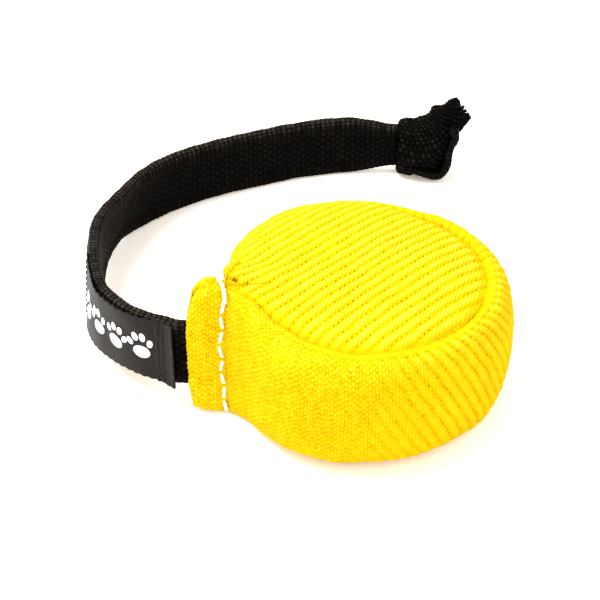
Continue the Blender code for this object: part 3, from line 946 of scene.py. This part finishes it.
def make_label():
    """The ribbed tape, thicker and pleated where its ends are folded under and sewn."""
    n, m = round(LABEL_LENGTH / LABEL_STEP), 150
    s = LABEL_START + LABEL_LENGTH * np.arange(n + 1)[:, None] / n
    w = LABEL_WIDTH * (np.arange(m + 1)[None] / m - 0.5)
    fine = 0.5 + 0.5 * np.cos(w / LABEL_RIB * math.tau)
    cross = 0.5 + 0.5 * np.cos(s / LABEL_PICK * math.tau + np.floor(w / LABEL_RIB + 0.5) * math.pi)
    share = fine * (0.7 + 0.3 * cross)
    crumple = 0.00014 * wobble(s, w, 77, 0.014)
    t = (s - LABEL_START) / LABEL_LENGTH
    from_end = np.minimum(t, 1 - t) * LABEL_LENGTH
    hem_edge = 0.0062 + 0.0003 * np.sin(w * 900)
    folded = 0.00042 * ease((hem_edge - from_end) / 0.0004) * np.where(t < 0.5, 1.0, 0.1)
    pleat = 0.00007 * np.cos(from_end / 0.0019 * math.tau) * ease((0.0058 - from_end) / 0.002)
    row = (pleat - 0.0003 * hill(from_end - 0.0049, 0.0004)) * np.where(t < 0.5, 1.0, 0.15)
    row = row + 0.0010 * ease((0.0012 - from_end) / 0.0012) * ease((w + 0.002) / 0.01) * (t < 0.5)
    front = label_at(s, w, share * 0.00009 + crumple + folded + row)
    back = label_at(s, w, -LABEL_SKIN + crumple + 0 * share)
    ring = np.concatenate([front, back[:, ::-1]], axis=1)
    # Painted shade between the ribs and painted highlight on their tops; the inner face gets an even middle
    # value.
    shade = np.concatenate([share + 0 * s, 0.3 + 0 * share[:, ::-1] + 0 * s], axis=1)
    obj = grid_object("label_tape", ring, wrap_v=True, values={"yarn": shade}, caps=True)
    fix_outward(obj)
    obj.data.materials.append(LABEL)
    return obj


label = make_label()
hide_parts("label")
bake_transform(label)


def blob(centre_s, centre_w, radius_s, radius_w, turn):
    """A flat rounded patch lying on the label, as rows of points."""
    rings, spokes = 9, 40
    r = (np.arange(1, rings + 1) / rings)[:, None]
    angle = np.linspace(0, math.tau, spokes, endpoint=False)[None]
    x, y = r * np.cos(angle) * radius_s, r * np.sin(angle) * radius_w
    s = centre_s + x * math.cos(turn) - y * math.sin(turn)
    w = centre_w + x * math.sin(turn) + y * math.cos(turn)
    thread_rows = 0.00006 * (0.5 + 0.5 * np.cos(w / 0.00045 * math.tau))
    lift = np.where(r > 0.98, 0.00002, 0.00020) + thread_rows
    return label_at(s, w, lift + 0.00008)


def join(name, parts):
    bpy.ops.object.select_all(action="DESELECT")
    for part in parts:
        part.select_set(True)
    bpy.context.view_layer.objects.active = parts[0]
    bpy.ops.object.join()
    parts[0].name = name
    return parts[0]


def make_prints():
    """A row of four plain paw prints, each a large pad and four toes."""
    parts = []
    rng = np.random.default_rng(12)
    places = [(0.0118, 0.0002), (0.0218, -0.0003), (0.0318, 0.0002), (0.0418, -0.0002)]
    # place along and up, half sizes, and turn of each pad
    pads = [
        (0.0, -0.0022, 0.0031, 0.0024, 0.0),
        (-0.0036, 0.0014, 0.00105, 0.00155, 0.35),
        (-0.0013, 0.0036, 0.00110, 0.00170, 0.10),
        (0.0013, 0.0036, 0.00110, 0.00170, -0.10),
        (0.0036, 0.0014, 0.00105, 0.00155, -0.35),
    ]
    for s, w in places:
        lean = rng.uniform(-0.25, 0.25)
        for x, y, rx, ry, turn in pads:
            px = x * math.cos(lean) - y * math.sin(lean)
            py = x * math.sin(lean) + y * math.cos(lean)
            grid = blob(s + px, w + py, rx, ry, turn + lean)
            parts.append(grid_object(f"print_{len(parts)}", grid, wrap_v=True))
            close_middle(parts[-1], grid.shape[1])
            parts[-1].data.materials.append(PRINT)
    return join("label_paw_prints", parts)


prints = make_prints()
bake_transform(prints)


def label_rows():
    """A row of ten short stitches across each end of the label."""
    rows = []
    fine = {"lay": 0.0012, "step": 0.00012, "around_count": 10}
    for name, place in (("near", 0.081), ("far", 0.919)):
        parts = []
        for k in range(10):
            s = LABEL_START + LABEL_LENGTH * place + 0.0001 * math.sin(k)
            start = -LABEL_WIDTH / 2 + 0.0008 + k * 0.00228
            points = []
            for t in (0, 0.25, 0.5, 0.75, 1):
                points.append(label_at(s, start + t * 0.0019, 0.00042 * math.sin(math.pi * t) - 0.00008))
            parts.append(thread(f"row_{name}_{k}", points, 0.00020, BLACK_THREAD, **fine))
        rows.append(join(f"label_thread_{name}", parts))
    return rows


near_row, far_row = label_rows()
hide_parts("label_stitch_near")
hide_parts("label_stitch_far")
for piece in (near_row, far_row):
    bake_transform(piece)


# ---------------------------------------------------------------- knot
knot_end = strap_line[-1]
knot_along = np.append((strap_line[-1] - strap_line[-8])[:2], 0.0)
knot_along /= np.linalg.norm(knot_along)
knot_across = np.array([knot_along[1], -knot_along[0], 0.0])

KNOT_PITCH = 0.0020
KNOT_ROUND = 9.5
KNOT_LAY = math.radians(38)
LOOP_WIDTH = 0.0118
TAIL_TIP = np.array([0.62, 0.0, 0.78])
TAIL_MIDDLE = np.array([23.3, 0.0, 27.3])
MILLI = 0.001

# In mm: along the strap, towards the front, up; the section's slant (degrees), half height and half depth
KNOT_BODY = [
    (0.2, 0.5, 11.3, 90, 8.8, 5.2),
    (0.4, 0.5, 11.3, 90, 10.1, 6.3),
    (1.6, 0.5, 11.4, 90, 10.7, 6.9),
    (4.0, 0.5, 11.3, 90, 10.8, 7.3),
    (7.5, 0.5, 11.6, 92, 10.9, 7.5),
    (11.8, 0.5, 13.0, 97, 11.0, 7.3),
    (15.6, 0.4, 16.2, 105, 10.0, 6.6),
    (18.2, 0.2, 20.6, 114, 7.6, 5.4),
    (20.3, 0.0, 23.6, 121, 6.0, 4.0),
    (21.9, 0.0, 25.7, 126, 5.5, 3.4),
    (23.2, 0.0, 27.2, 128, 5.3, 3.1),
    (24.0, 0.0, 28.0, 129, 4.6, 2.3),
    (23.2, 0.0, 27.2, 129, 3.6, 1.2),
    (21.4, 0.0, 25.2, 129, 3.0, 0.8),
]


def make_body():
    """The wrap of the knot and the tail it ends in: one tube that narrows, bends up and ends open."""
    stations = smooth_route(KNOT_BODY, 12)
    stations, at = resample(stations, step=0.30)
    n, m = len(stations), 210
    along, across, up, slant, half, depth = stations.T
    angle = np.linspace(0, math.tau, m, endpoint=False)
    c, d = np.cos(angle), np.sin(angle)
    square = 2 / 2.5
    h = np.sign(c) * np.abs(c) ** square
    w = np.sign(d) * np.abs(d) ** square
    slant = np.radians(slant)
    x = along[:, None] + np.cos(slant)[:, None] * half[:, None] * h
    z = up[:, None] + np.sin(slant)[:, None] * half[:, None] * h
    y = across[:, None] + depth[:, None] * w
    fold = 0.9 * np.exp(-(((x - z * 0.35 - 9.0) / 1.4) ** 2)) * (z < 9)
    y = y - fold * (w > 0)
    grid = np.stack([x, y, z], axis=2)
    bump = np.exp(-((x - 14.4) ** 2 + (z - 27.2) ** 2 + (y * 0.7) ** 2) / 1.7**2)
    normals = grid_normals(grid, wrap_v=True)
    centre = np.stack([along, across, up], axis=1)[:, None]
    if np.sum((grid - centre) * normals * (np.arange(n) < n * 0.6)[:, None, None]) < 0:
        normals = -normals
    around_length = angle[None] * KNOT_ROUND
    s = at[:, None]
    p = (s * math.cos(KNOT_LAY) + around_length * math.sin(KNOT_LAY)) * MILLI / KNOT_PITCH
    q = (-s * math.sin(KNOT_LAY) + around_length * math.cos(KNOT_LAY)) * MILLI / KNOT_PITCH
    p = p + 0.18 * wobble(x, z, 71, 7.0)
    col = np.floor(p)
    ridge = np.sqrt(np.clip(1 - ((p - col - 0.5) / 0.54) ** 2, 0, 1))
    wave = 0.5 + 0.5 * np.cos(math.tau * (q + col * 0.5))
    weave = ridge * (0.25 + 0.75 * wave)
    gloss = chance(col, np.floor(q + col * 0.5 + 0.5))
    end = ease((np.arange(n)[:, None] / n - 0.80) / 0.08)
    ragged = (chance(np.arange(m)[None] // 3, np.full((1, m), 4.0)) - 0.45) * 1.6 * end
    soft = 0.35 * wobble(x, z, 61, 9.0)
    grid = grid + normals * (weave * 0.62 + soft + bump * 1.7)[..., None] + TAIL_TIP * ragged[..., None]
    # Painted highlight on the weave's ridges, varied at random from float to float as painted gloss, with
    # painted shade in the gaps.
    value = np.clip(weave, 0, 1) ** 0.8 * (0.64 + 0.28 * gloss) + 0 * s
    body = grid_object("knot_body", knot_world(grid), wrap_v=True, values={"yarn": value}, caps=True)
    fix_outward(body)
    body.data.materials.append(WEBBING)
    return body


def knot_world(grid):
    """From millimetres by the knot (along, towards the front, up) to the frame."""
    base = np.append(knot_end[:2], STRAP_FLOOR)
    return base + (grid[..., :1] * knot_along + grid[..., 1:2] * knot_across + grid[..., 2:3] * UP) * MILLI


def make_loop():
    """The turn at the lower far side, open underneath."""
    route = [
        (4.0, 5.6),
        (7.0, 4.4),
        (10.5, 3.2),
        (13.8, 2.2),
        (16.4, 2.4),
        (18.4, 4.8),
        (19.5, 8.2),
        (19.9, 12.0),
        (20.6, 15.6),
        (21.9, 18.6),
        (21.6, 21.6),
        (19.5, 23.0),
    ]
    line = smooth_route(route, 8)
    grid = np.column_stack([line[:, 0], np.full(len(line), 2.9), line[:, 1]])
    path = knot_world(grid)
    tangent = unit(np.gradient(line, axis=0))
    side = knot_along * tangent[:, 1:] - UP * tangent[:, :1]
    up = np.tile(knot_across, (len(path), 1))
    widths = np.full(len(path), LOOP_WIDTH)
    thin = {"flat": 0.0012, "edge": 0.0014, "depth": 0.00025, "edge_highlight": 0.1}
    return ribbon("knot_loop", path, side, up, widths, 120, **thin)


def make_fray():
    """Loose fibre ends at the cut."""
    rng = np.random.default_rng(33)
    across_tip = np.array([-0.78, 0.0, 0.62])
    parts = []
    for k in range(60):
        h, w = rng.uniform(-5.0, 5.0), rng.uniform(-2.2, 2.2)
        start = TAIL_MIDDLE + across_tip * h + np.array([0, w, 0]) + TAIL_TIP * rng.uniform(-1.2, 0.2)
        lean = TAIL_TIP + across_tip * (h * 0.08 + rng.normal(0, 0.25))
        lean = lean + np.array([0, rng.normal(0, 0.35), 0])
        bend = rng.normal(0, 0.35, 3)
        reach = rng.uniform(1.0, 2.6)
        points = [start + lean * reach * t + bend * t * t for t in (0, 0.35, 0.7, 1.0)]
        line = knot_world(np.array(points))
        radius = rng.uniform(0.10, 0.24) * MILLI
        parts.append(thread(f"fray_{k}", line, radius, FRAY, step=0.0003, around_count=6))
    return join("tail_fray", parts)


knot = make_loop()
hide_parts("strap_knot")
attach(knot, "strap")

tail = make_body()
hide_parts("strap_tail")
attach(tail, "strap")

fray = make_fray()
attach(fray, "strap")


# ---------------------------------------------------------------- stuffing
def stuffing_material():
    material, tree, shader = nodes_of("stuffing")
    tuft = noise_node(tree, 260.0, 4.0, 0.65)
    colour = ramp_node(tree, tuft, [(0.3, (0.55, 0.53, 0.48)), (0.7, (0.80, 0.78, 0.72))])
    tree.links.new(colour, shader.inputs["Base Color"])
    shader.inputs["Roughness"].default_value = 0.95
    add_bump(tree, shader, tuft, 0.5, 0.001)
    return material


STUFFING = stuffing_material()
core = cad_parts["core"]
core.data.materials.clear()
core.data.materials.append(STUFFING)


# ---------------------------------------------------------------- studio
def make_floor():
    mesh = bpy.data.meshes.new("floor")
    reach = 6.0
    corners = [(-reach, -reach, 0), (reach, -reach, 0), (reach, reach, 0), (-reach, reach, 0)]
    mesh.from_pydata(corners, [], [(0, 1, 2, 3)])
    floor = bpy.data.objects.new("floor", mesh)
    bpy.context.scene.collection.objects.link(floor)
    material, tree, shader = nodes_of("glowing_floor")
    speck = noise_node(tree, 40.0, 2.0)
    colour = ramp_node(tree, speck, [(0.0, (0.93, 0.93, 0.93)), (1.0, (0.95, 0.95, 0.95))])
    tree.links.new(colour, shader.inputs["Base Color"])
    shader.inputs["Roughness"].default_value = 0.9
    shader.inputs["Specular IOR Level"].default_value = 0.1
    # Painted glow: the floor gives off a faint warm light of its own, which lifts and warms the shadows and
    # lights the puck from below.
    shader.inputs["Emission Color"].default_value = (1.0, 0.87, 0.70, 1)
    shader.inputs["Emission Strength"].default_value = 0.21
    mesh.materials.append(material)


def area_light(name, location, target, size, power):
    data = bpy.data.lights.new(name, "AREA")
    data.shape = "DISK"
    data.size = size
    data.energy = power
    light = bpy.data.objects.new(name, data)
    bpy.context.scene.collection.objects.link(light)
    light.location = location
    light.rotation_mode = "QUATERNION"
    light.rotation_quaternion = (Vector(target) - Vector(location)).to_track_quat("-Z", "Y")


def set_view():
    """Plain view with deep blacks, like a high-key product shot."""
    settings = bpy.context.scene.view_settings
    settings.view_transform = "Standard"
    settings.use_curve_mapping = True
    mapping = settings.curve_mapping
    combined = mapping.curves[3]
    for x, y in ((0.04, 0.016), (0.16, 0.145)):
        combined.points.new(x, y)
    mapping.update()


def make_world(strength):
    world = bpy.data.worlds.new("studio")
    world.use_nodes = True
    background = world.node_tree.nodes["Background"]
    background.inputs["Color"].default_value = (1.0, 0.955, 0.90, 1)
    background.inputs["Strength"].default_value = strength
    bpy.context.scene.world = world


make_floor()
make_world(1.20)
area_light("key", location=(-0.50, 0.20, 0.95), target=(0, 0.02, 0.02), size=0.60, power=15.0)
area_light("fill", location=(0.1, -0.9, 0.8), target=(0, 0, 0.02), size=0.9, power=5.0)
set_view()
